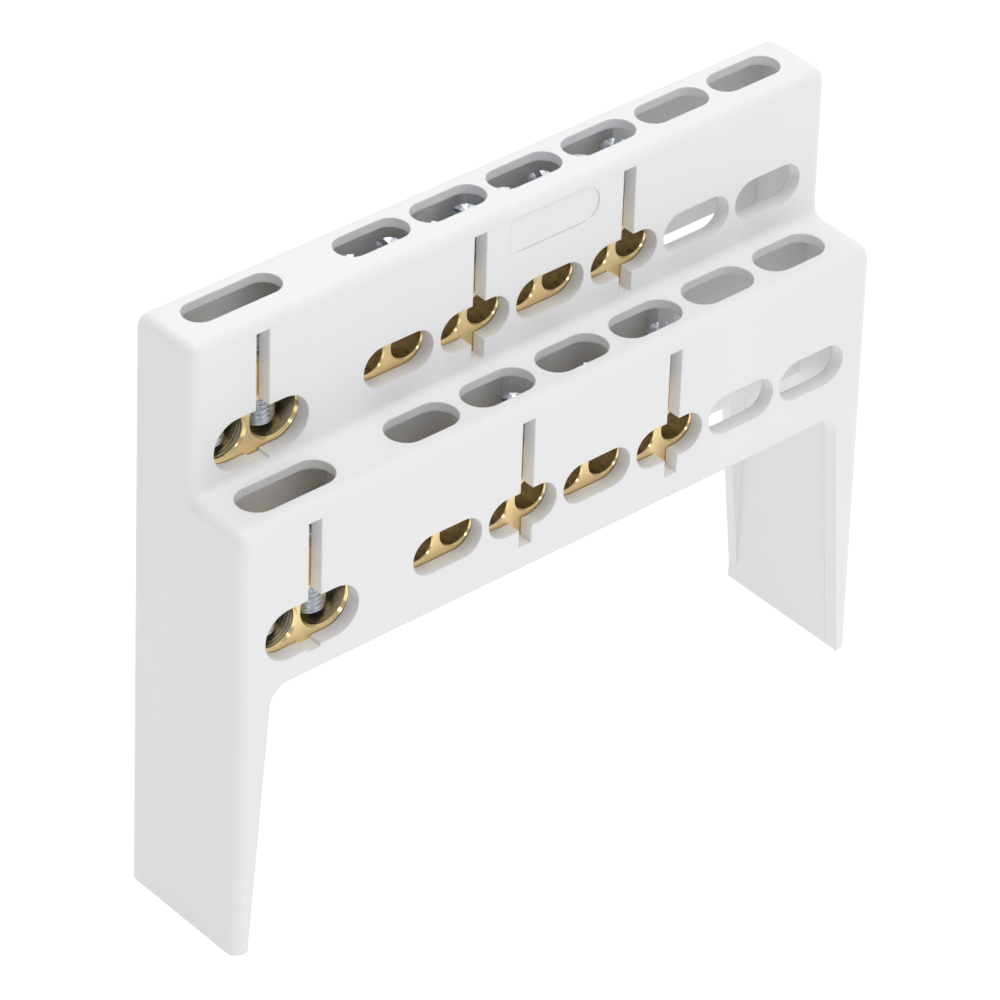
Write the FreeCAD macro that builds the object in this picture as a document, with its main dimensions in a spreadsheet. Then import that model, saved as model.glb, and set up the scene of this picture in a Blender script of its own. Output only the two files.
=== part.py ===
import FreeCAD, Part
import Sketcher
import math
import os

# Two-tier terminal bar: a moulded holder on two end legs carries two brass
# bars, one in the lower front channel and one in the upper rear channel.
# Each bar has cross holes for the wires and a clamp screw above each hole.
#
# Frame: X along the holder (0 at the middle of its length), Y from front to
# back (0 at the middle of its depth), Z up from the feet.  Millimetres.

V = FreeCAD.Vector
doc = FreeCAD.newDocument("TerminalBar")
sheet = doc.addObject("Spreadsheet::Sheet", "Dims")

ROWS = [
    # holder, outside
    ("half_length", 55.89, "half length of the holder at the feet"),
    ("end_draft", 0.014, "draft of each end, mm per mm of height"),
    ("depth", 22.86, "depth of the holder, front to back"),
    ("height", 91.94, "overall height"),
    ("tier_z", 68.71, "top of the lower tier"),
    ("tier_step", 10.81, "upper front plane behind the lower front plane"),
    ("r_top_front", 1.5, "upper top front edge radius"),
    ("r_top_back", 2.8, "upper top back edge radius"),
    ("r_tier_front", 2.2, "lower top front edge radius"),
    ("r_step", 1.2, "concave radius between the tiers"),
    ("r_end", 1.65, "radius round the end faces"),
    # holder, walls
    ("front_wall", 2.2, "front wall, both tiers"),
    ("top_wall", 1.45, "top walls"),
    ("back_wall", 1.8, "back wall"),
    ("plate_in", 53.6, "inner face of an end plate from the middle, at the feet"),
    ("beam_z", 42.64, "lower edge of the front and middle walls"),
    ("back_z", 67.3, "lower edge of the back wall"),
    ("flange_taper", 0.086, "taper of the front leg flanges"),
    ("rear_taper", 0.113, "taper of the rear leg flanges"),
    ("rear_from", 2.5, "height where the rear flanges start"),
    ("r_window", 3.2, "corner radius of the window between the legs"),
    # openings
    ("x_main", -43.115, "middle of the large openings"),
    ("x_first", -20.28, "middle of the first small opening"),
    ("pitch", 13.0, "pitch of the small openings"),
    ("small_half", 5.90, "small front opening, half length"),
    ("small_r", 3.08, "small front opening, end radius"),
    ("main_half", 7.79, "large front opening, half length"),
    ("main_r", 3.95, "large front opening, end radius"),
    ("small_z_up", 76.09, "small front openings, upper tier"),
    ("small_z_low", 52.03, "small front openings, lower tier"),
    ("main_z_up", 74.23, "large front opening, upper tier"),
    ("main_z_low", 50.17, "large front opening, lower tier"),
    ("top_half_up", 5.83, "small top opening, upper tier, half length"),
    ("top_r_up", 2.57, "small top opening, upper tier, end radius"),
    ("top_half_low", 5.64, "small top opening, lower tier, half length"),
    ("top_r_low", 3.01, "small top opening, lower tier, end radius"),
    ("topm_half_up", 7.64, "large top opening, upper tier, half length"),
    ("topm_r_up", 2.445, "large top opening, upper tier, end radius"),
    ("topm_half_low", 7.61, "large top opening, lower tier, half length"),
    ("topm_r_low", 2.93, "large top opening, lower tier, end radius"),
    ("top_y_up", 6.07, "small top openings behind the upper front plane"),
    ("top_y_low", 5.98, "small top openings behind the lower front plane"),
    ("topm_y_up", 6.25, "large top opening behind the upper front plane"),
    ("topm_y_low", 5.90, "large top opening behind the lower front plane"),
    ("slit_w", 2.15, "width of the slits"),
    ("slit_x1_up", -42.95, "slit through the large opening, upper tier"),
    ("slit_x1_low", -42.80, "slit through the large opening, lower tier"),
    ("slit_x2", -6.72, "slit through the second small opening"),
    ("slit_x3", 19.17, "slit through the fourth small opening"),
    ("slit_top_up", 89.97, "top of the slits, upper tier"),
    ("slit_bot_up", 70.08, "bottom of the small slits, upper tier"),
    ("slit_main_up", 69.83, "bottom of the large slit, upper tier"),
    ("slit_top_low", 66.34, "top of the slits, lower tier"),
    ("slit_bot_low", 46.20, "bottom of the small slits, lower tier"),
    ("slit_main_low", 45.77, "bottom of the large slit, lower tier"),
    # marking panel, left plain
    ("panel_x1", -1.55, "plain marking panel, left end"),
    ("panel_x2", 13.9, "plain marking panel, right end"),
    ("panel_z1", 84.6, "plain marking panel, lower edge"),
    ("panel_z2", 89.95, "plain marking panel, upper edge"),
    ("panel_deep", 0.18, "depth of the marking panel"),
    # ribs that hold the bars
    ("rib_w", 3.0, "width of a rib"),
    ("rib_x1", -30.8, "first rib"),
    ("rib_x2", -0.78, "second rib"),
    ("rib_x3", 25.2, "third rib, at the right end of the bar"),
    ("post_x1", -13.78, "middle of the wall between the first and second small openings"),
    ("post_x2", 12.22, "middle of the wall between the third and fourth small openings"),
    ("stop_low", 2.0, "reach of the stops above the lower bar"),
    ("stop_up", 1.5, "reach of the stops above the upper bar"),
    ("ledge_reach", 2.0, "how far a ledge reaches under the bar"),
    ("ledge_t", 1.0, "thickness of a ledge"),
    # bars
    ("bar_gap", 0.1, "bar behind the inner face of the front wall"),
    ("bar_depth", 7.5, "depth of a bar"),
    ("bar_high", 15.4, "height of a bar"),
    ("bar_x1", -52.1, "left end of the bars"),
    ("bar_x2", 25.5, "right end of the bars"),
    ("bar_z_up", 68.4, "underside of the upper bar"),
    ("bar_z_low", 45.4, "underside of the lower bar"),
    ("bar_edge", 0.3, "broken edges of a bar"),
    ("wire_r", 2.525, "radius of a small wire hole"),
    ("wire_rise", 0.2, "small wire holes above the opening's middle"),
    ("wire_side", 3.25, "small wire holes either side of the opening's middle"),
    ("main_wire_r1", 3.45, "radius of the first large wire hole"),
    ("main_wire_r2", 3.75, "radius of the second large wire hole"),
    ("main_rise_1", 0.15, "first large wire hole above the opening's middle"),
    ("main_rise_2", 0.45, "second large wire hole above the opening's middle"),
    ("main_wire_x1", -47.6, "first large wire hole"),
    ("main_wire_x2", -39.2, "second large wire hole"),
    ("wire_edge", 0.22, "chamfer round the small wire holes"),
    ("main_wire_edge", 0.38, "chamfer round the large wire holes"),
    # screws
    ("screw_r", 2.15, "radius of a small clamp screw"),
    ("screw_len", 9.2, "length of a small clamp screw"),
    ("main_screw_r", 2.5, "radius of a large clamp screw"),
    ("main_screw_len", 13.75, "length of a large clamp screw"),
    ("bore_gap", 0.09, "radial clearance of a clamp screw in its bore"),
    ("tip_edge", 0.8, "chamfer at the tip of a small clamp screw"),
    ("main_tip_edge", 0.45, "chamfer at the tip of a large clamp screw"),
    ("rim_edge", 0.35, "chamfer at the top of a clamp screw"),
    ("slot_w", 0.9, "width of a screwdriver slot"),
    ("slot_deep", 1.3, "depth of a screwdriver slot"),
    ("main_slot_w", 1.2, "width of a large screwdriver slot"),
    ("main_slot_deep", 1.6, "depth of a large screwdriver slot"),
    ("tip_small_up", 80.30, "tip of the small screws, upper bar"),
    ("tip_main_up", 71.75, "tip of the large screws, upper bar"),
    ("tip_main_low", 47.8, "tip of the large screws, lower bar"),
    ("tip_low_a", 54.85, "tip of the lower small screws, group 1"),
    ("tip_low_b", 56.10, "tip of the lower small screws, group 2"),
    ("tip_low_c", 55.40, "tip of the lower small screws, group 3"),
    ("tip_low_d", 56.50, "tip of the lower small screws, group 4"),
]
VAL = {}
for row, (alias, number, note) in enumerate(ROWS, start=1):
    sheet.set("A%d" % row, note)
    sheet.set("B%d" % row, str(number))
    sheet.setAlias("B%d" % row, alias)
    VAL[alias] = float(number)
doc.recompute()


class Len:
    """A size: its number, and the sheet expression that gives it."""

    def __init__(self, value, text):
        self.value = float(value)
        self.text = text

    def __add__(self, other):
        other = size(other)
        return Len(self.value + other.value, "(%s + %s)" % (self.text, other.text))

    __radd__ = __add__

    def __sub__(self, other):
        other = size(other)
        return Len(self.value - other.value, "(%s - %s)" % (self.text, other.text))

    def __rsub__(self, other):
        return size(other) - self

    def __mul__(self, other):
        other = size(other)
        return Len(self.value * other.value, "(%s * %s)" % (self.text, other.text))

    __rmul__ = __mul__

    def __truediv__(self, other):
        other = size(other)
        return Len(self.value / other.value, "(%s / %s)" % (self.text, other.text))

    def __neg__(self):
        return Len(-self.value, "(0 - %s)" % self.text)


def size(x):
    return x if isinstance(x, Len) else Len(x, "%.6g" % x)


def D(alias):
    return Len(VAL[alias], "Dims." + alias)


# ---------------------------------------------------------------- helpers

def new_body(name):
    body = doc.addObject("PartDesign::Body", name)
    body.Label = name
    return body


def new_sketch(body, name, role, offset=None):
    """Sketch on one of the body's own origin planes, moved along its normal."""
    plane = [f for f in body.Origin.OriginFeatures if f.Role == role][0]
    sk = body.newObject("Sketcher::SketchObject", name)
    sk.AttachmentSupport = [(plane, "")]
    sk.MapMode = "FlatFace"
    if offset is not None:
        offset = size(offset)
        sk.AttachmentOffset = FreeCAD.Placement(V(0, 0, offset.value), FreeCAD.Rotation())
        sk.setExpression("AttachmentOffset.Base.z", offset.text)
    return sk


def drive(sk, constraint, quantity):
    """Add a dimension and bind it to the sheet."""
    index = sk.addConstraint(constraint)
    sk.setExpression("Constraints[%d]" % index, quantity.text)


def fix_point(sk, geo, pos, u, w):
    u, w = size(u), size(w)
    if abs(u.value) < 1e-9:
        sk.addConstraint(Sketcher.Constraint("PointOnObject", geo, pos, -2))
    else:
        drive(sk, Sketcher.Constraint("DistanceX", -1, 1, geo, pos, u.value), u)
    if abs(w.value) < 1e-9:
        sk.addConstraint(Sketcher.Constraint("PointOnObject", geo, pos, -1))
    else:
        drive(sk, Sketcher.Constraint("DistanceY", -1, 1, geo, pos, w.value), w)


def polygon(sk, points):
    """Closed outline through the points; each one is dimensioned."""
    points = [(size(u), size(w)) for u, w in points]
    n = len(points)
    first = sk.GeometryCount
    for i in range(n):
        a, b = points[i], points[(i + 1) % n]
        sk.addGeometry(Part.LineSegment(V(a[0].value, a[1].value, 0),
                                        V(b[0].value, b[1].value, 0)), False)
    for i in range(n):
        sk.addConstraint(Sketcher.Constraint("Coincident", first + i, 2,
                                             first + (i + 1) % n, 1))
    for i in range(n):
        fix_point(sk, first + i, 1, points[i][0], points[i][1])


def rectangle(sk, u1, w1, u2, w2):
    polygon(sk, [(u1, w1), (u2, w1), (u2, w2), (u1, w2)])


def slot(sk, u, w, half, r):
    """Obround with its long axis along the sketch's first axis."""
    u, w, half, r = size(u), size(w), size(half), size(r)
    left, right = u - half + r, u + half - r
    g = sk.GeometryCount
    quarter = math.pi / 2
    sk.addGeometry(Part.ArcOfCircle(Part.Circle(V(left.value, w.value, 0), V(0, 0, 1), r.value),
                                    quarter, 3 * quarter), False)
    sk.addGeometry(Part.ArcOfCircle(Part.Circle(V(right.value, w.value, 0), V(0, 0, 1), r.value),
                                    -quarter, quarter), False)
    sk.addGeometry(Part.LineSegment(V(left.value, w.value - r.value, 0),
                                    V(right.value, w.value - r.value, 0)), False)
    sk.addGeometry(Part.LineSegment(V(right.value, w.value + r.value, 0),
                                    V(left.value, w.value + r.value, 0)), False)
    sk.addConstraint(Sketcher.Constraint("Tangent", g, 2, g + 2, 1))
    sk.addConstraint(Sketcher.Constraint("Tangent", g + 2, 2, g + 1, 1))
    sk.addConstraint(Sketcher.Constraint("Tangent", g + 1, 2, g + 3, 1))
    sk.addConstraint(Sketcher.Constraint("Tangent", g + 3, 2, g, 1))
    sk.addConstraint(Sketcher.Constraint("Equal", g, g + 1))
    fix_point(sk, g, 3, left, w)
    fix_point(sk, g + 1, 3, right, w)
    drive(sk, Sketcher.Constraint("Radius", g, r.value), r)


def circle(sk, u, w, r):
    u, w, r = size(u), size(w), size(r)
    g = sk.addGeometry(Part.Circle(V(u.value, w.value, 0), V(0, 0, 1), r.value), False)
    fix_point(sk, g, 3, u, w)
    drive(sk, Sketcher.Constraint("Radius", g, r.value), r)


def volume(body):
    return body.Shape.Volume if body.Tip is not None and not body.Shape.isNull() else 0.0


def pad(body, sk, name, length, reverse=False):
    f = body.newObject("PartDesign::Pad", name)
    f.Profile = sk
    f.Length = size(length).value
    f.setExpression("Length", size(length).text)
    f.Reversed = reverse
    sk.Visibility = False
    return f


def pocket(body, sk, name, length):
    """Cut against the sketch's normal; the cut must take material away."""
    before = volume(body)
    f = body.newObject("PartDesign::Pocket", name)
    f.Profile = sk
    f.Length = size(length).value
    f.setExpression("Length", size(length).text)
    sk.Visibility = False
    doc.recompute()
    after = volume(body)
    if not after < before - 1e-3:
        raise RuntimeError("%s cut nothing: %.3f -> %.3f" % (name, before, after))
    return f


def edges_where(shape, test):
    names = []
    for i, e in enumerate(shape.Edges, start=1):
        if test(e):
            names.append("Edge%d" % i)
    return names


def dress(body, kind, name, names, alias):
    base = body.Tip
    f = body.newObject(kind, name)
    f.Base = (base, names)
    if kind == "PartDesign::Fillet":
        f.Radius = VAL[alias]
        f.setExpression("Radius", "Dims." + alias)
    else:
        f.Size = VAL[alias]
        f.setExpression("Size", "Dims." + alias)
    doc.recompute()
    return f


def near(a, b, tol=0.02):
    return abs(a - b) < tol


# ------------------------------------------------------------ holder

y_front = -D("depth") / 2                 # lower front plane
y_upper = y_front + D("tier_step")        # upper front plane
y_back = D("depth") / 2
top_low = D("tier_z") - D("top_wall")     # undersides of the top walls
top_up = D("height") - D("top_wall")
over = 1.0                                # how far a cut starts outside

holder = new_body("terminal_holder")

# L-shaped end profile, pushed along the whole length.
sk = new_sketch(holder, "EndProfile", "YZ_Plane", -D("half_length"))
pts = [(y_front, size(0)), (y_back, size(0)), (y_back, D("height")),
       (y_upper, D("height")), (y_upper, D("tier_z")), (y_front, D("tier_z"))]
polygon(sk, pts)
pad(holder, sk, "Blank", D("half_length") * 2)
doc.recompute()


def along_x_at(y, z):
    def test(e):
        c = e.CenterOfMass
        return (e.Length > 80 and near(c.y, y.value) and near(c.z, z.value)
                and near(c.x, 0, 0.5))
    return test


for name, y, z, alias in (("TopBackEdge", y_back, D("height"), "r_top_back"),
                          ("TopFrontEdge", y_upper, D("height"), "r_top_front"),
                          ("StepEdge", y_upper, D("tier_z"), "r_step"),
                          ("TierFrontEdge", y_front, D("tier_z"), "r_tier_front")):
    found = edges_where(holder.Shape, along_x_at(y, z))
    assert len(found) == 1, (name, found)
    dress(holder, "PartDesign::Fillet", name, found, alias)

# Draft on both ends.
sk = new_sketch(holder, "EndDrafts", "XZ_Plane", D("depth") / 2 + over)
tall = D("height") + over
for side in (-1, 1):
    foot = D("half_length") * side
    top = (D("half_length") - D("end_draft") * tall) * side
    out = (D("half_length") + 2) * side
    polygon(sk, [(foot, size(0)), (out, size(0)), (out, tall), (top, tall)])
pocket(holder, sk, "EndDraftCut", D("depth") + 2 * over)


def round_end(e):
    c = e.CenterOfMass
    end = VAL["half_length"] - VAL["end_draft"] * c.z
    if not near(abs(c.x), end, 0.03) or c.z < 0.5:
        return False
    box = e.BoundBox
    return box.XLength < 1.5


found = edges_where(holder.Shape, round_end)
dress(holder, "PartDesign::Fillet", "EndRounding", found, "r_end")


def inner(z):
    """Inner face of an end plate at height z."""
    return D("plate_in") - D("end_draft") * z


def plate_pocket(name, y_from, z_low, z_high, deep):
    """Cut between the two end plates, from y_from towards the back."""
    sk = new_sketch(holder, name + "Sketch", "XZ_Plane", -y_from)
    z_low, z_high = size(z_low), size(z_high)
    polygon(sk, [(-inner(z_low), z_low), (inner(z_low), z_low),
                 (inner(z_high), z_high), (-inner(z_high), z_high)])
    pocket(holder, sk, name, deep)


# Channel of the lower bar, open below.
plate_pocket("LowerChannel", y_front + D("front_wall"), -over, top_low,
             D("tier_step") - D("front_wall"))
# Channel of the upper bar and the open space behind the middle wall.
plate_pocket("UpperChannel", y_upper + D("front_wall"), -over, top_up,
             D("depth") - D("tier_step") - D("front_wall") - D("back_wall"))
# The middle wall ends at the lower edge of the beam.
plate_pocket("MiddleWallEnd", y_upper - 0.05, -over, D("beam_z"),
             D("front_wall") + 0.1)

# Window between the front leg flanges.
sk = new_sketch(holder, "FrontWindowSketch", "XZ_Plane", -y_front + over)
w0 = D("plate_in") + D("flange_taper") * over
w1 = D("plate_in") - D("flange_taper") * D("beam_z")
polygon(sk, [(-w0, size(-over)), (w0, size(-over)), (w1, D("beam_z")), (-w1, D("beam_z"))])
pocket(holder, sk, "FrontWindow", D("front_wall") + over + 0.05)
found = edges_where(holder.Shape, lambda e: e.Length < 3 and near(e.CenterOfMass.z, VAL["beam_z"])
                    and near(abs(e.CenterOfMass.x), w1.value)
                    and near(e.CenterOfMass.y, y_front.value + VAL["front_wall"] / 2, 0.1))
assert len(found) == 2, found
dress(holder, "PartDesign::Fillet", "WindowCorners", found, "r_window")

# Window between the rear leg flanges.
sk = new_sketch(holder, "RearWindowSketch", "XZ_Plane", -y_back + D("back_wall") + 0.05)
w2 = D("plate_in") - D("rear_taper") * (D("back_z") - D("rear_from"))
w3 = D("plate_in")
polygon(sk, [(-w3, size(-over)), (w3, size(-over)), (w3, D("rear_from")), (w2, D("back_z")),
             (-w2, D("back_z")), (-w3, D("rear_from"))])
pocket(holder, sk, "RearWindow", D("back_wall") + over)
found = edges_where(holder.Shape, lambda e: e.Length < 3 and near(e.CenterOfMass.z, VAL["back_z"])
                    and near(abs(e.CenterOfMass.x), w2.value)
                    and near(e.CenterOfMass.y, y_back.value - VAL["back_wall"] / 2, 0.1))
assert len(found) == 2, found
dress(holder, "PartDesign::Fillet", "RearCorners", found, "r_step")

# Front openings: one large and six small in each tier.
x_small = [D("x_first") + D("pitch") * i for i in range(6)]
wall_cut = D("front_wall") + over + 0.4
for tier, y, z_small, z_main in (("Upper", y_upper, D("small_z_up"), D("main_z_up")),
                                 ("Lower", y_front, D("small_z_low"), D("main_z_low"))):
    sk = new_sketch(holder, tier + "FrontSketch", "XZ_Plane", -y + over)
    slot(sk, D("x_main"), z_main, D("main_half"), D("main_r"))
    for x in x_small:
        slot(sk, x, z_small, D("small_half"), D("small_r"))
    pocket(holder, sk, tier + "FrontOpenings", wall_cut)

# Top openings above the clamp screws.
for tier, y0, z, ys, ym, hs, rs, hm, rm in (
        ("Upper", y_upper, D("height"), "top_y_up", "topm_y_up",
         "top_half_up", "top_r_up", "topm_half_up", "topm_r_up"),
        ("Lower", y_front, D("tier_z"), "top_y_low", "topm_y_low",
         "top_half_low", "top_r_low", "topm_half_low", "topm_r_low")):
    sk = new_sketch(holder, tier + "TopSketch", "XY_Plane", z + over)
    slot(sk, D("x_main"), y0 + D(ym), D(hm), D(rm))
    for x in x_small:
        slot(sk, x, y0 + D(ys), D(hs), D(rs))
    pocket(holder, sk, tier + "TopOpenings", D("top_wall") + over + 0.2)

# Upright slits that run through three of the openings in each tier.
for tier, y, zm, zb, zt in (
        ("Upper", y_upper, "slit_main_up", "slit_bot_up", "slit_top_up"),
        ("Lower", y_front, "slit_main_low", "slit_bot_low", "slit_top_low")):
    sk = new_sketch(holder, tier + "SlitSketch", "XZ_Plane", -y + over)
    for x, low in (("slit_x1_up" if tier == "Upper" else "slit_x1_low", zm),
                   ("slit_x2", zb), ("slit_x3", zb)):
        rectangle(sk, D(x) - D("slit_w") / 2, D(low), D(x) + D("slit_w") / 2, D(zt))
    pocket(holder, sk, tier + "Slits", wall_cut)

# Plain marking panel on the upper front: square left end, round right end.
sk = new_sketch(holder, "PanelSketch", "XZ_Plane", -y_upper + over)
pr = (D("panel_z2") - D("panel_z1")) / 2
pc = D("panel_x2") - pr
zc = D("panel_z1") + pr
g = sk.GeometryCount
sk.addGeometry(Part.LineSegment(V(pc.value, VAL["panel_z2"], 0), V(VAL["panel_x1"], VAL["panel_z2"], 0)), False)
sk.addGeometry(Part.LineSegment(V(VAL["panel_x1"], VAL["panel_z2"], 0), V(VAL["panel_x1"], VAL["panel_z1"], 0)), False)
sk.addGeometry(Part.LineSegment(V(VAL["panel_x1"], VAL["panel_z1"], 0), V(pc.value, VAL["panel_z1"], 0)), False)
sk.addGeometry(Part.ArcOfCircle(Part.Circle(V(pc.value, zc.value, 0), V(0, 0, 1), pr.value),
                                -math.pi / 2, math.pi / 2), False)
sk.addConstraint(Sketcher.Constraint("Coincident", g, 2, g + 1, 1))
sk.addConstraint(Sketcher.Constraint("Coincident", g + 1, 2, g + 2, 1))
sk.addConstraint(Sketcher.Constraint("Tangent", g + 2, 2, g + 3, 1))
sk.addConstraint(Sketcher.Constraint("Tangent", g + 3, 2, g, 1))
fix_point(sk, g + 1, 1, D("panel_x1"), D("panel_z2"))
fix_point(sk, g + 1, 2, D("panel_x1"), D("panel_z1"))
fix_point(sk, g + 3, 3, pc, zc)
pocket(holder, sk, "MarkingPanel", D("panel_deep") + over)

# Ribs behind the bars: a stop above the bar, a pad behind it, a ledge under it.
gap_front = D("front_wall") + D("bar_gap")
for tier, y0, wall, z_top, z_bar, stop in (
        ("Upper", y_upper, y_back - D("back_wall"), top_up, "bar_z_up", "stop_up"),
        ("Lower", y_front, y_upper, top_low, "bar_z_low", "stop_low")):
    bar_back = y0 + gap_front + D("bar_depth")
    bar_top = D(z_bar) + D("bar_high")
    inside = wall + 0.4
    for i, x in enumerate(("rib_x1", "rib_x2", "rib_x3"), start=1):
        sk = new_sketch(holder, "%sRib%dSketch" % (tier, i), "YZ_Plane", D(x) - D("rib_w") / 2)
        polygon(sk, [(inside, D(z_bar) - D("ledge_t")),
                     (bar_back - D("ledge_reach"), D(z_bar) - D("ledge_t") / 2),
                     (bar_back - D("ledge_reach"), D(z_bar)),
                     (bar_back, D(z_bar)),
                     (bar_back, bar_top + 0.1),
                     (wall - D(stop), bar_top + 0.1),
                     (wall - D(stop), z_top + 0.4),
                     (inside, z_top + 0.4)])
        pad(holder, sk, "%sRib%d" % (tier, i), D("rib_w"))
doc.recompute()

# ------------------------------------------------------------ brass bars

BARS = {}
for name, tag, y0, z_bar, z_small, z_main in (
        ("upper_terminal_bar", "UpperBar", y_upper, "bar_z_up", D("small_z_up"), D("main_z_up")),
        ("lower_terminal_bar", "LowerBar", y_front, "bar_z_low", D("small_z_low"), D("main_z_low"))):
    bar = new_body(name)
    BARS[name] = bar
    y_bar = y0 + gap_front
    z_hole = z_small + D("wire_rise")
    sk = new_sketch(bar, tag + "Outline", "XZ_Plane", -y_bar)
    rectangle(sk, D("bar_x1"), D(z_bar), D("bar_x2"), D(z_bar) + D("bar_high"))
    pad(bar, sk, tag + "Blank", D("bar_depth"), reverse=True)
    doc.recompute()
    found = edges_where(bar.Shape, lambda e: e.Length > 40)
    assert len(found) == 4, found
    dress(bar, "PartDesign::Chamfer", tag + "Edges", found, "bar_edge")
    # cross holes for the wires
    sk = new_sketch(bar, tag + "WireSketch", "XZ_Plane", -y_bar + over)
    for x in x_small[:4]:
        circle(sk, x - D("wire_side"), z_hole, D("wire_r"))
        circle(sk, x + D("wire_side"), z_hole, D("wire_r"))
    for n in ("1", "2"):
        circle(sk, D("main_wire_x" + n), z_main + D("main_rise_" + n), D("main_wire_r" + n))
    pocket(bar, sk, tag + "WireHoles", D("bar_depth") + 2 * over)

    def rim(low, high):
        ends = (y_bar.value, y_bar.value + VAL["bar_depth"])
        return edges_where(bar.Shape, lambda e: isinstance(e.Curve, Part.Circle)
                           and low < e.Curve.Radius < high
                           and min(abs(e.CenterOfMass.y - w) for w in ends) < 0.01)

    found = rim(2.4, 2.7)
    assert len(found) == 16, found
    dress(bar, "PartDesign::Chamfer", tag + "WireRims", found, "wire_edge")
    found = rim(3.3, 3.9)
    assert len(found) == 4, found
    dress(bar, "PartDesign::Chamfer", tag + "MainWireRims", found, "main_wire_edge")
    # bores of the small clamp screws, down to the middle of the wire holes
    y_screw = y0 + D("top_y_up" if tag == "UpperBar" else "top_y_low")
    z_face = D(z_bar) + D("bar_high")
    sk = new_sketch(bar, tag + "BoreSketch", "XY_Plane", z_face + over)
    for x in x_small[:4]:
        circle(sk, x - D("wire_side"), y_screw, D("screw_r") + D("bore_gap"))
        circle(sk, x + D("wire_side"), y_screw, D("screw_r") + D("bore_gap"))
    pocket(bar, sk, tag + "Bores", z_face + over - z_hole)
    # bores of the large clamp screws
    sk = new_sketch(bar, tag + "MainBoreSketch", "XY_Plane", z_face + over)
    for x in ("main_wire_x1", "main_wire_x2"):
        circle(sk, D(x), y_screw, D("main_screw_r") + D("bore_gap"))
    pocket(bar, sk, tag + "MainBores", z_face + over - z_main)

# ------------------------------------------------------------ clamp screws


def screw(name, x, y, z, angle, r, length, slot_w, slot_deep, tip):
    """Headless clamp screw with a straight slot; its tip is at its own origin."""
    body = new_body(name)
    r, length, tip = D(r), D(length), D(tip)
    sk = new_sketch(body, name + "_profile", "XZ_Plane")
    polygon(sk, [(0, 0), (r - tip, 0), (r, tip),
                 (r, length - D("rim_edge")), (r - D("rim_edge"), length), (0, length)])
    f = body.newObject("PartDesign::Revolution", name + "_shank")
    f.Profile = sk
    f.ReferenceAxis = (sk, ["V_Axis"])
    f.Angle = 360
    sk.Visibility = False
    doc.recompute()
    sk = new_sketch(body, name + "_slot_sketch", "XY_Plane", length + over)
    rectangle(sk, -r - over, -D(slot_w) / 2, r + over, D(slot_w) / 2)
    pocket(body, sk, name + "_slot", D(slot_deep) + over)
    x, y, z = size(x), size(y), size(z)
    body.Placement = FreeCAD.Placement(V(x.value, y.value, z.value),
                                       FreeCAD.Rotation(V(0, 0, 1), angle))
    body.setExpression("Placement.Base.x", x.text)
    body.setExpression("Placement.Base.y", y.text)
    body.setExpression("Placement.Base.z", z.text)
    return body


SCREWS = []
ANGLES_UP = [24, 101, 58, 133, 12, 76, 147, 39]
ANGLES_LOW = [115, 8, 66, 142, 31, 93, 160, 50]
y_su = y_upper + D("top_y_up")
y_sl = y_front + D("top_y_low")
low_tips = ["tip_low_a", "tip_low_b", "tip_low_c", "tip_low_d"]
for i in range(8):
    x = x_small[i // 2] + D("wire_side") * (-1 if i % 2 == 0 else 1)
    SCREWS.append(screw("upper_clamp_screw_%d" % (i + 1), x, y_su, D("tip_small_up"),
                        ANGLES_UP[i], "screw_r", "screw_len", "slot_w", "slot_deep", "tip_edge"))
    SCREWS.append(screw("lower_clamp_screw_%d" % (i + 1), x, y_sl, D(low_tips[i // 2]),
                        ANGLES_LOW[i], "screw_r", "screw_len", "slot_w", "slot_deep", "tip_edge"))
for i, x in enumerate(("main_wire_x1", "main_wire_x2"), start=1):
    SCREWS.append(screw("upper_main_screw_%d" % i, D(x), y_su, D("tip_main_up"),
                        (35, 120)[i - 1], "main_screw_r", "main_screw_len",
                        "main_slot_w", "main_slot_deep", "main_tip_edge"))
    SCREWS.append(screw("lower_main_screw_%d" % i, D(x), y_sl, D("tip_main_low"),
                        (80, 155)[i - 1], "main_screw_r", "main_screw_len",
                        "main_slot_w", "main_slot_deep", "main_tip_edge"))

doc.recompute()

# ------------------------------------------------------------ checks and files

for obj in doc.Objects:
    bad = [s for s in obj.State if s in ("Invalid", "Error")]
    if bad:
        raise RuntimeError("%s is %s" % (obj.Label, bad))

# The holder is one moulding.  Its files hold it as six simple solids that meet
# face to face, in the middle of three ribs and of two walls between openings.
# The solid round the first small openings has a file of its own.
cuts = ["", "rib_x1", "post_x1", "rib_x2", "post_x2", "rib_x3", ""]
segments = []
for i in range(6):
    low = -D("half_length") - over if i == 0 else D(cuts[i])
    high = D("half_length") + over if i == 5 else D(cuts[i + 1])
    block = doc.addObject("Part::Box", "SegmentBlock%d" % (i + 1))
    for prop, amount in (("Length", high - low), ("Width", D("depth") + 2 * over),
                         ("Height", D("height") + 2 * over)):
        setattr(block, prop, amount.value)
        block.setExpression(prop, amount.text)
    block.Placement.Base = V(low.value, y_front.value - over, -over)
    block.setExpression("Placement.Base.x", low.text)
    block.setExpression("Placement.Base.y", (y_front - over).text)
    piece = doc.addObject("Part::Common", "HolderSegment%d" % (i + 1))
    piece.Base, piece.Tool = holder, block
    segments.append(piece)
split = doc.addObject("Part::Compound", "HolderSegments")
split.Links = segments
rest = doc.addObject("Part::Compound", "HolderRest")
rest.Links = segments[:1] + segments[2:]
doc.recompute()
bay = segments[1]
for obj in segments + [split, rest]:
    if "Invalid" in obj.State or not obj.Shape.isValid():
        raise RuntimeError("bad segment %s" % obj.Label)
if abs(split.Shape.Volume - holder.Shape.Volume) > 0.01 or len(split.Shape.Solids) != 6:
    raise RuntimeError("the segments don't add up to the holder: %.3f %.3f %d" % (
        split.Shape.Volume, holder.Shape.Volume, len(split.Shape.Solids)))

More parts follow.
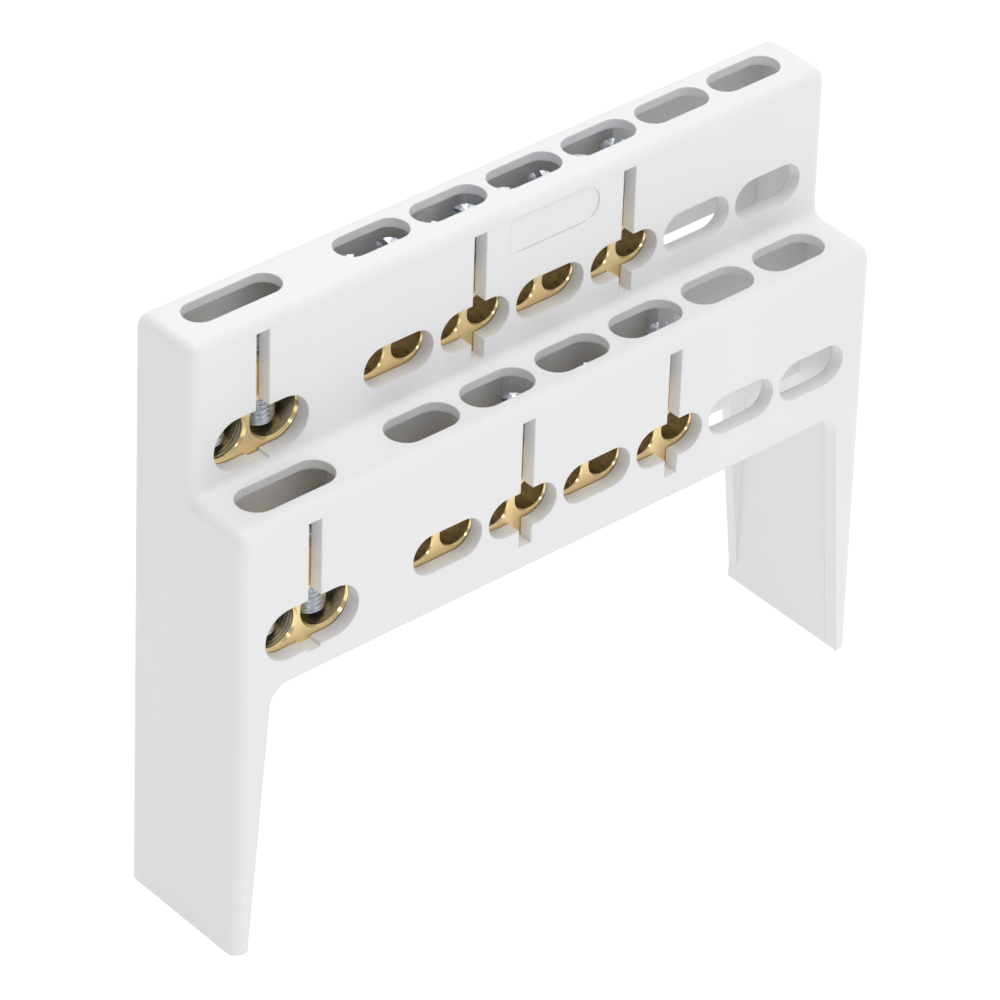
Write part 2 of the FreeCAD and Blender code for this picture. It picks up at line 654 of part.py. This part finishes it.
PIECES = [holder] + list(BARS.values()) + SCREWS
for piece in PIECES:
    shape = piece.Shape
    if shape.isNull() or not shape.isValid() or len(shape.Solids) != 1:
        raise RuntimeError("bad shape: %s, %d solids" % (piece.Label, len(shape.Solids)))

os.makedirs("parts", exist_ok=True)
bay.Shape.exportStep("parts/terminal_holder_bay.step")
for piece in PIECES:
    source = rest if piece is holder else piece
    source.Shape.exportStep("parts/%s.step" % piece.Label)
    b = piece.Shape.BoundBox
    print("%-22s %9.1f mm3  x %.2f..%.2f  y %.2f..%.2f  z %.2f..%.2f" % (
        piece.Label, piece.Shape.Volume, b.XMin, b.XMax, b.YMin, b.YMax, b.ZMin, b.ZMax))
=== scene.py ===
import math

import bmesh
import bpy
from mathutils import Matrix, Vector


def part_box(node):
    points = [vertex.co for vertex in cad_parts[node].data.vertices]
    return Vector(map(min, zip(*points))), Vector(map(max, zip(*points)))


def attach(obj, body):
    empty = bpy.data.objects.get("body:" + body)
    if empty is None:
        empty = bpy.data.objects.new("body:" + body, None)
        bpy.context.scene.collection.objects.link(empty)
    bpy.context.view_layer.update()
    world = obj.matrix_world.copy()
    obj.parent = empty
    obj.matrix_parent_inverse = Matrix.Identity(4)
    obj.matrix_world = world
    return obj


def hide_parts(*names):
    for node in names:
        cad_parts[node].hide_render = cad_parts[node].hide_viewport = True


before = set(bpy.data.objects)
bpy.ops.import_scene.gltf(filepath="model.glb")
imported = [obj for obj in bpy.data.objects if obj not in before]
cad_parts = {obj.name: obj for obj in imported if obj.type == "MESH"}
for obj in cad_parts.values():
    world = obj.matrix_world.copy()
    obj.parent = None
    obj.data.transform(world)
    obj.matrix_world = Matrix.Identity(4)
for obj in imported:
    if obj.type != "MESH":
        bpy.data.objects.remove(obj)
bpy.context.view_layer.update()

MM = 0.001
SEAMS = (-30.8 * MM, -13.78 * MM, -0.78 * MM, 12.22 * MM, 25.2 * MM)

# ------------------------------------------------------------ node helpers


def new_material(name, base, metallic, roughness, ior=None, spec=None):
    m = bpy.data.materials.new(name)
    m.use_nodes = True
    nt = m.node_tree
    bsdf = nt.nodes["Principled BSDF"]
    bsdf.inputs["Base Color"].default_value = (*base, 1)
    bsdf.inputs["Metallic"].default_value = metallic
    bsdf.inputs["Roughness"].default_value = roughness
    if ior is not None:
        bsdf.inputs["IOR"].default_value = ior
    if spec is not None:
        bsdf.inputs["Specular IOR Level"].default_value = spec
    return m, nt, bsdf


def node(nt, kind, **values):
    n = nt.nodes.new(kind)
    for key, value in values.items():
        setattr(n, key, value)
    return n


def link(nt, a, b):
    nt.links.new(a, b)


def coords(nt):
    return node(nt, "ShaderNodeTexCoord").outputs["Object"]


def scaled(nt, vec, scale):
    mp = node(nt, "ShaderNodeMapping")
    mp.inputs["Scale"].default_value = scale if hasattr(scale, "__len__") else (scale,) * 3
    link(nt, vec, mp.inputs["Vector"])
    return mp.outputs["Vector"]


def noise(nt, vec, scale, detail=3.0, rough=0.5, distort=0.0):
    n = node(nt, "ShaderNodeTexNoise")
    n.inputs["Scale"].default_value = scale
    n.inputs["Detail"].default_value = detail
    n.inputs["Roughness"].default_value = rough
    n.inputs["Distortion"].default_value = distort
    link(nt, vec, n.inputs["Vector"])
    return n.outputs["Fac"]


def ramp(nt, fac, stops):
    r = node(nt, "ShaderNodeValToRGB")
    els = r.color_ramp.elements
    while len(els) > len(stops):
        els.remove(els[-1])
    while len(els) < len(stops):
        els.new(1.0)
    for e, (pos, col) in zip(els, stops):
        e.position = pos
        e.color = (*col, 1) if hasattr(col, "__len__") else (col, col, col, 1)
    link(nt, fac, r.inputs["Fac"])
    return r.outputs["Color"]


def math_node(nt, op, a, b=None, clamp=False):
    n = node(nt, "ShaderNodeMath", operation=op, use_clamp=clamp)
    for i, v in enumerate((a, b)):
        if v is None:
            continue
        if isinstance(v, (int, float)):
            n.inputs[i].default_value = v
        else:
            link(nt, v, n.inputs[i])
    return n.outputs[0]


def remap(nt, v, a, b, c, d):
    n = node(nt, "ShaderNodeMapRange")
    link(nt, v, n.inputs["Value"])
    n.inputs["From Min"].default_value = a
    n.inputs["From Max"].default_value = b
    n.inputs["To Min"].default_value = c
    n.inputs["To Max"].default_value = d
    return n.outputs["Result"]


def bump(nt, height, strength, distance, normal=None):
    b = node(nt, "ShaderNodeBump")
    b.inputs["Strength"].default_value = strength
    b.inputs["Distance"].default_value = distance
    link(nt, height, b.inputs["Height"])
    if normal is not None:
        link(nt, normal, b.inputs["Normal"])
    return b.outputs["Normal"]


def soft_edge(nt, radius, samples=6):
    b = node(nt, "ShaderNodeBevel", samples=samples)
    b.inputs["Radius"].default_value = radius
    return b.outputs["Normal"]


def mix_color(nt, fac, a, b):
    n = node(nt, "ShaderNodeMix", data_type="RGBA")
    for sock, v in (("Factor", fac), ("A", a), ("B", b)):
        s = [i for i in n.inputs if i.name == sock and i.enabled][0]
        if isinstance(v, (int, float)):
            s.default_value = v
        elif isinstance(v, tuple):
            s.default_value = (*v, 1)
        else:
            link(nt, v, s)
    return [o for o in n.outputs if o.enabled][0]


# ------------------------------------------------------------ materials


def position(nt, vec):
    n = node(nt, "ShaderNodeSeparateXYZ")
    link(nt, vec, n.inputs[0])
    return n.outputs


def face_normal(nt):
    """True normal of the surface, before bump, in the object's frame."""
    n = node(nt, "ShaderNodeSeparateXYZ")
    link(nt, node(nt, "ShaderNodeTexCoord").outputs["Normal"], n.inputs[0])
    return n.outputs


def away_from_seams(nt, x):
    """0 beside the planes where two solids of the holder meet, 1 elsewhere."""
    out = None
    for plane in SEAMS:
        d = math_node(nt, "ABSOLUTE", math_node(nt, "SUBTRACT", x, plane))
        one = remap(nt, d, 0.00034, 0.00040, 0.0, 1.0)
        out = one if out is None else math_node(nt, "MULTIPLY", out, one)
    return out


def mix_normal(nt, fac, a, b):
    n = node(nt, "ShaderNodeMix", data_type="VECTOR")
    for sock, v in (("Factor", fac), ("A", a), ("B", b)):
        s = [i for i in n.inputs if i.name == sock and i.enabled][0]
        link(nt, v, s)
    return [o for o in n.outputs if o.enabled][0]


def edge_highlight_mask(nt, radius, sharp=0.25):
    """1 on edges, 0 on plain faces: how far the rounded normal leaves the true one; it masks the painted edge
    highlights.
    """
    bev = node(nt, "ShaderNodeBevel", samples=6)
    bev.inputs["Radius"].default_value = radius
    geo = node(nt, "ShaderNodeNewGeometry")
    dot = node(nt, "ShaderNodeVectorMath", operation="DOT_PRODUCT")
    link(nt, bev.outputs["Normal"], dot.inputs[0])
    link(nt, geo.outputs["Normal"], dot.inputs[1])
    return remap(nt, dot.outputs["Value"], 1.0, 1.0 - sharp, 0.0, 1.0)


# Moulded plastic: near-white grey, a fine satin grain, faint flow marks, and edges painted a little lighter as a
# painted highlight where the rounded edges catch the light.
plastic, nt, bsdf = new_material("moulded_plastic", (0.86, 0.86, 0.86), 0.0, 0.42, ior=1.50)
vec = coords(nt)
grain = noise(nt, vec, 4200.0, 3.0, 0.55)
flow = noise(nt, scaled(nt, vec, (60.0, 60.0, 25.0)), 1.0, 2.0, 0.5, 0.4)
tint = ramp(nt, flow, [(0.30, (0.900, 0.901, 0.912)), (0.70, (0.918, 0.919, 0.930))])
whole = away_from_seams(nt, position(nt, vec)[0])
# painted highlight: rounded edges lightened towards near-white, except along the seams
painted_rim_light = math_node(nt, "MULTIPLY", whole, edge_highlight_mask(nt, 0.25 * MM, 0.30))
link(nt, mix_color(nt, math_node(nt, "MULTIPLY", painted_rim_light, 0.55), tint, (0.95, 0.95, 0.95)),
     bsdf.inputs["Base Color"])
link(nt, remap(nt, noise(nt, vec, 900.0, 3.0), 0.3, 0.7, 0.38, 0.47), bsdf.inputs["Roughness"])
plain = node(nt, "ShaderNodeNewGeometry").outputs["Normal"]
n1 = bump(nt, grain, 0.12, 0.00004, mix_normal(nt, whole, plain, soft_edge(nt, 0.28 * MM)))
link(nt, bump(nt, flow, 0.08, 0.0004, n1), bsdf.inputs["Normal"])

# Drilled brass bar: faces drawn lengthways and a little dull, holes turned smooth and painted a paler, greyer
# brass as a painted reflection of their dim surroundings, edges painted bright as a painted highlight.
brass, nt, bsdf = new_material("drilled_brass", (0.86, 0.70, 0.42), 1.0, 0.30)
vec = coords(nt)
nrm = face_normal(nt)
flat_y = math_node(nt, "ABSOLUTE", nrm[1])
flat_z = math_node(nt, "ABSOLUTE", nrm[2])
face = remap(nt, math_node(nt, "MAXIMUM", flat_y, math_node(nt, "MULTIPLY", flat_z, 0.2)),
             0.80, 0.97, 0.0, 1.0)
drawn = noise(nt, scaled(nt, vec, (90.0, 1500.0, 1500.0)), 1.0, 4.0, 0.6)
tone = noise(nt, vec, 160.0, 2.0, 0.5)
flat_tone = ramp(nt, tone, [(0.30, (0.92, 0.70, 0.36)), (0.70, (0.97, 0.77, 0.43))])
# painted reflection: hole walls get a paler, greyer copy of the brass
hole_reflection_tone = ramp(nt, tone, [(0.30, (0.85, 0.73, 0.50)), (0.70, (0.92, 0.80, 0.56))])
# chamfers round the holes: neither a flat face nor a hole's wall
edge_cut = math_node(nt, "MULTIPLY", remap(nt, flat_y, 0.45, 0.60, 0.0, 1.0),
                     remap(nt, flat_y, 0.80, 0.95, 1.0, 0.0))
body_tone = mix_color(nt, edge_cut, mix_color(nt, face, hole_reflection_tone, flat_tone), (0.93, 0.72, 0.38))
# painted highlight: edges of the brass painted paler and brighter
brass_edge_glint = edge_highlight_mask(nt, 0.10 * MM, 0.35)
link(nt, mix_color(nt, math_node(nt, "MULTIPLY", brass_edge_glint, 0.25), body_tone, (0.98, 0.88, 0.64)),
     bsdf.inputs["Base Color"])
rough_flat = remap(nt, drawn, 0.3, 0.7, 0.36, 0.48)
rough_hole = remap(nt, noise(nt, vec, 700.0, 3.0), 0.3, 0.7, 0.24, 0.33)
mixr = node(nt, "ShaderNodeMix", data_type="FLOAT")
link(nt, face, mixr.inputs[0])
link(nt, rough_hole, mixr.inputs[2])
link(nt, rough_flat, mixr.inputs[3])
mixc = node(nt, "ShaderNodeMix", data_type="FLOAT")
link(nt, edge_cut, mixc.inputs[0])
link(nt, mixr.outputs[0], mixc.inputs[2])
mixc.inputs[3].default_value = 0.13
link(nt, mixc.outputs[0], bsdf.inputs["Roughness"])
edge = soft_edge(nt, 0.12 * MM)
pos = position(nt, vec)
turned = node(nt, "ShaderNodeMath", operation="SINE")
wob = math_node(nt, "MULTIPLY", noise(nt, vec, 300.0, 2.0), 2.4)
link(nt, math_node(nt, "ADD", math_node(nt, "MULTIPLY", pos[1], 2 * math.pi / 0.00055), wob),
     turned.inputs[0])
large = remap(nt, pos[0], -0.0437, -0.0434, 1.0, 0.0)
rings = math_node(nt, "MULTIPLY", turned.outputs[0],
                  math_node(nt, "MULTIPLY", large, math_node(nt, "SUBTRACT", 1.0, face)))
n1 = bump(nt, rings, 0.22, 0.00005, edge)
n2 = bump(nt, math_node(nt, "MULTIPLY", drawn, face), 0.25, 0.00004, n1)
link(nt, n2, bsdf.inputs["Normal"])

# Bright zinc on steel.
zinc, nt, bsdf = new_material("bright_zinc", (0.80, 0.83, 0.88), 1.0, 0.24)
vec = coords(nt)
patch = noise(nt, vec, 900.0, 4.0, 0.6)
tone = ramp(nt, patch, [(0.30, (0.52, 0.56, 0.64)), (0.70, (0.82, 0.86, 0.93))])
# painted highlight: edges of the zinc painted near-white
link(nt, mix_color(nt, math_node(nt, "MULTIPLY", edge_highlight_mask(nt, 0.06 * MM, 0.4), 0.6), tone,
                   (0.96, 0.97, 1.0)), bsdf.inputs["Base Color"])
link(nt, remap(nt, patch, 0.3, 0.7, 0.16, 0.30), bsdf.inputs["Roughness"])
link(nt, bump(nt, noise(nt, vec, 1500.0, 3.0), 0.5, 0.00008, soft_edge(nt, 0.05 * MM)), bsdf.inputs["Normal"])


def dress(obj, material):
    obj.data.materials.clear()
    obj.data.materials.append(material)
    for p in obj.data.polygons:
        p.material_index = 0


for name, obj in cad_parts.items():
    if name.startswith("terminal_holder"):
        dress(obj, plastic)
    elif name.endswith("_bar"):
        dress(obj, brass)
    else:
        dress(obj, zinc)

# ------------------------------------------------------------ clamp screws

# Turn of each screwdriver slot, in degrees, as the solids have them.
TURN = {}
for i, (u, l) in enumerate(zip((24, 101, 58, 133, 12, 76, 147, 39),
                               (115, 8, 66, 142, 31, 93, 160, 50)), start=1):
    TURN["upper_clamp_screw_%d" % i] = u
    TURN["lower_clamp_screw_%d" % i] = l
TURN.update({"upper_main_screw_1": 35, "upper_main_screw_2": 120,
             "lower_main_screw_1": 80, "lower_main_screw_2": 155})


def threaded(name, x, y, z0, z1, r, pitch, tip, rim, slot_w, slot_deep, turn):
    """Headless screw: helical thread from tip to top, both ends chamfered, one slot."""
    columns = 36
    per_turn = 8
    deep = pitch * 0.58
    high = z1 - z0
    turns = int(math.ceil(high / pitch)) + 1
    bm = bmesh.new()

    def point(i, j):
        z = min(max((i / per_turn - 1 + j / columns) * pitch, 0.0), high)
        tri = abs((i % per_turn) / per_turn - 0.5) * 2.0      # 0 at the crest, 1 in the root
        cut = min(max((tri - 0.14) / 0.72, 0.0), 1.0)
        rad = min(r - deep * cut, r - tip + z, r - rim + (high - z))
        a = 2 * math.pi * j / columns
        return bm.verts.new((rad * math.cos(a), rad * math.sin(a), z))

    # One long strip wound round the axis: row i after a full turn is row i + per_turn.
    grid = [[point(i, j) for j in range(columns)] for i in range(turns * per_turn + 1)]
    for i in range(turns * per_turn):
        for j in range(columns):
            if j + 1 < columns:
                c, d = grid[i][j + 1], grid[i + 1][j + 1]
            elif i + 1 + per_turn < len(grid):
                c, d = grid[i + per_turn][0], grid[i + 1 + per_turn][0]
            else:
                continue
            bm.faces.new((grid[i][j], c, d, grid[i + 1][j]))
    bmesh.ops.remove_doubles(bm, verts=bm.verts, dist=2e-7)
    flat = [f for f in bm.faces if f.calc_area() < 1e-13]
    bmesh.ops.delete(bm, geom=flat, context="FACES_ONLY")
    at_end = [f for f in bm.faces if all(v.co.z < 1e-8 for v in f.verts)
              or all(v.co.z > high - 1e-8 for v in f.verts)]
    bmesh.ops.delete(bm, geom=at_end, context="FACES_ONLY")
    bmesh.ops.delete(bm, geom=[e for e in bm.edges if not e.link_faces], context="EDGES")
    bmesh.ops.delete(bm, geom=[v for v in bm.verts if not v.link_faces], context="VERTS")
    bmesh.ops.holes_fill(bm, edges=[e for e in bm.edges if len(e.link_faces) == 1], sides=0)
    bmesh.ops.recalc_face_normals(bm, faces=bm.faces)
    # the top is slightly hollow
    top = [f for f in bm.faces if all(v.co.z > high - 1e-8 for v in f.verts)]
    bmesh.ops.poke(bm, faces=top, offset=-0.36 * (r - rim), center_mode="MEAN")
    loose = [e for e in bm.edges if len(e.link_faces) != 2]
    if loose:
        print("open edges", name, len(loose))
    me = bpy.data.meshes.new(name)
    bm.to_mesh(me)
    bm.free()
    obj = bpy.data.objects.new(name, me)
    bpy.context.collection.objects.link(obj)
    # slot
    cb = bmesh.new()
    bmesh.ops.create_cube(cb, size=1.0)
    bmesh.ops.scale(cb, vec=(4 * r, slot_w, slot_deep * 2), verts=cb.verts)
    bmesh.ops.rotate(cb, cent=(0, 0, 0), matrix=Matrix.Rotation(math.radians(turn), 3, "Z"), verts=cb.verts)
    bmesh.ops.translate(cb, vec=(0, 0, z1 - z0), verts=cb.verts)
    cm = bpy.data.meshes.new(name + "_cut")
    cb.to_mesh(cm)
    cb.free()
    cutter = bpy.data.objects.new(name + "_cut", cm)
    bpy.context.collection.objects.link(cutter)
    mod = obj.modifiers.new("slot", "BOOLEAN")
    mod.operation = "DIFFERENCE"
    mod.object = cutter
    # a cut that meets the thread's edges too closely is made again, a hair to one side
    for nudge, solver in ((0.0, "MANIFOLD"), (0.0, "EXACT"), (0.3, "MANIFOLD"), (0.3, "EXACT"), (-0.4, "EXACT")):
        mod.solver = solver
        cutter.rotation_euler = (0, 0, math.radians(nudge))
        bpy.context.view_layer.update()
        done = bpy.data.meshes.new_from_object(obj.evaluated_get(bpy.context.evaluated_depsgraph_get()))
        if len(done.polygons) > 0.9 * len(me.polygons):
            break
        print("cut again", name, nudge, solver, len(done.polygons), len(me.polygons))
        bpy.data.meshes.remove(done)
    else:
        print("no slot in", name)
        done = me.copy()
    obj.modifiers.clear()
    obj.data = done
    done.name = name
    bpy.data.meshes.remove(me)
    bpy.data.objects.remove(cutter)
    bpy.data.meshes.remove(cm)
    done.transform(Matrix.Translation((x, y, z0)))
    for p in done.polygons:
        p.use_smooth = True
    done.set_sharp_from_angle(angle=math.radians(32))
    return obj


for node_name, turn in TURN.items():
    lo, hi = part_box(node_name)
    big = "_main_" in node_name
    r = (hi[0] - lo[0]) / 2 - 0.00001
    screw = threaded("thread_" + node_name, (lo[0] + hi[0]) / 2, (lo[1] + hi[1]) / 2, lo[2], hi[2], r,
                     *((0.8 * MM, 0.45 * MM, 0.35 * MM, 1.2 * MM, 1.6 * MM) if big else
                       (0.7 * MM, 0.8 * MM, 0.35 * MM, 0.9 * MM, 1.3 * MM)), turn)
    dress(screw, zinc)
    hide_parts(node_name)
    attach(screw, node_name)

# ------------------------------------------------------------ stage

floor_mat, nt, bsdf = new_material("studio_floor", (0.25, 0.25, 0.25), 0.0, 0.9)
bsdf.inputs["Emission Color"].default_value = (1, 1, 1, 1)
bsdf.inputs["Emission Strength"].default_value = 0.82
bm = bmesh.new()
bmesh.ops.create_grid(bm, x_segments=1, y_segments=1, size=6.0)
me = bpy.data.meshes.new("studio_floor")
bm.to_mesh(me)
bm.free()
floor = bpy.data.objects.new("studio_floor", me)
floor.location = (0, 0, -0.0002)
bpy.context.collection.objects.link(floor)
me.materials.append(floor_mat)

world = bpy.data.worlds.new("studio")
bpy.context.scene.world = world
world.use_nodes = True
wnt = world.node_tree
wnt.nodes["Background"].inputs["Strength"].default_value = 0.535
# a little less light from the left
side = position(wnt, node(wnt, "ShaderNodeTexCoord").outputs["Generated"])[0]
level = remap(wnt, side, -1.0, 1.0, 0.70, 1.30)
tone = node(wnt, "ShaderNodeCombineColor")
for i in range(3):
    link(wnt, level, tone.inputs[i])
link(wnt, tone.outputs[0], wnt.nodes["Background"].inputs["Color"])
bpy.context.scene.view_settings.view_transform = "Standard"
bpy.context.scene.view_settings.look = "None"


def area(name, place, target, size, power, color=(1, 1, 1)):
    data = bpy.data.lights.new(name, "AREA")
    data.shape = "RECTANGLE"
    data.size, data.size_y = size
    data.energy = power
    data.color = color
    obj = bpy.data.objects.new(name, data)
    obj.location = place
    obj.rotation_euler = (Vector(target) - Vector(place)).to_track_quat("-Z", "Y").to_euler()
    bpy.context.collection.objects.link(obj)
    return obj


area("key_back", (0.15, 0.75, 0.95), (0, 0, 0.05), (0.8, 0.8), 2.3)
area("key_top", (0.05, -0.16, 1.1), (0, 0, 0.05), (0.6, 0.6), 3.9)
area("fill_front", (0.25, -1.15, 0.55), (0, 0, 0.05), (0.5, 0.5), 0.4)
area("glint_front", (-0.55, -0.95, 0.50), (0, 0, 0.05), (0.16, 0.16), 0.35)

# ------------------------------------------------------------ camera

cam_data = bpy.data.cameras.new("camera")
cam_data.sensor_fit = "HORIZONTAL"
cam_data.sensor_width = 36.0
cam_data.lens = 220.685
cam_data.clip_start = 0.01
cam_data.clip_end = 50.0
cam = bpy.data.objects.new("camera", cam_data)
right = Vector((0.76138518, -0.64765601, 0.02888418))
up = Vector((0.36247066, 0.4622143, 0.809304))
back = Vector((-0.53750128, -0.60572241, 0.58667942))
eye = Vector((-0.44569329, -0.50082814, 0.52966662))
cam.matrix_world = Matrix(((right.x, up.x, back.x, eye.x),
                           (right.y, up.y, back.y, eye.y),
                           (right.z, up.z, back.z, eye.z),
                           (0, 0, 0, 1)))
bpy.context.collection.objects.link(cam)
bpy.context.scene.camera = cam
